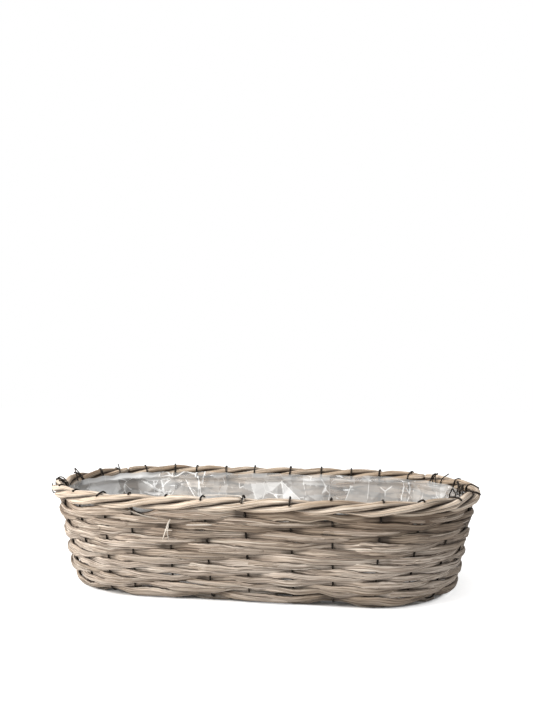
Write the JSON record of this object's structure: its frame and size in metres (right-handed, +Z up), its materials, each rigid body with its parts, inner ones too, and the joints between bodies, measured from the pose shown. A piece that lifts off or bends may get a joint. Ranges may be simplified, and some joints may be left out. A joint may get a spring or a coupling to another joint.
{
  "type": "planter basket",
  "caption": "Long oval planter basket of split willow strips woven on a wire frame, with a roped willow rim and a clear film liner.",
  "frame": {"origin": "middle of the underside, on the ground", "axes": "+X along the basket's length, -Y to the front, +Z up"},
  "size_m": [0.499, 0.261, 0.1183],
  "materials": {
    "wire": "dull dark annealed wire",
    "wall_strip": "grey-washed split willow",
    "base_strip": "grey-washed split willow",
    "rim_rod": "peeled willow rod, pale tan",
    "film": "clear crumpled film"
  },
  "bodies": {
    "root": {"base_weaver_01": "base_strip", "base_weaver_02": "base_strip", "base_weaver_03": "base_strip", "base_weaver_04": "base_strip", "base_weaver_05": "base_strip", "base_weaver_06": "base_strip", "base_weaver_07": "base_strip", "base_weaver_08": "base_strip", "base_weaver_09": "base_strip", "base_weaver_10": "base_strip", "base_weaver_11": "base_strip", "base_weaver_12": "base_strip", "base_weaver_13": "base_strip", "base_weaver_14": "base_strip", "base_weaver_15": "base_strip", "base_weaver_16": "base_strip", "cross_wire_01": "wire", "cross_wire_02": "wire", "cross_wire_03": "wire", "cross_wire_04": "wire", "cross_wire_05": "wire", "cross_wire_06": "wire", "cross_wire_07": "wire", "cross_wire_08": "wire", "cross_wire_09": "wire", "cross_wire_10": "wire", "cross_wire_11": "wire", "end_wire_1": "wire", "end_wire_2": "wire", "end_wire_3": "wire", "end_wire_4": "wire", "liner": "film", "rim_rod_1": "rim_rod", "rim_rod_2": "rim_rod", "rim_rod_3": "rim_rod", "wall_weaver_01": "wall_strip", "wall_weaver_02": "wall_strip", "wall_weaver_03": "wall_strip", "wall_weaver_04": "wall_strip", "wall_weaver_05": "wall_strip", "wall_weaver_06": "wall_strip", "wall_weaver_07": "wall_strip", "wall_weaver_08": "wall_strip", "wall_weaver_09": "wall_strip", "wall_weaver_10": "wall_strip", "wall_weaver_11": "wall_strip", "wall_weaver_12": "wall_strip", "wall_weaver_13": "wall_strip", "wall_weaver_14": "wall_strip"}
  },
  "joints": []
}
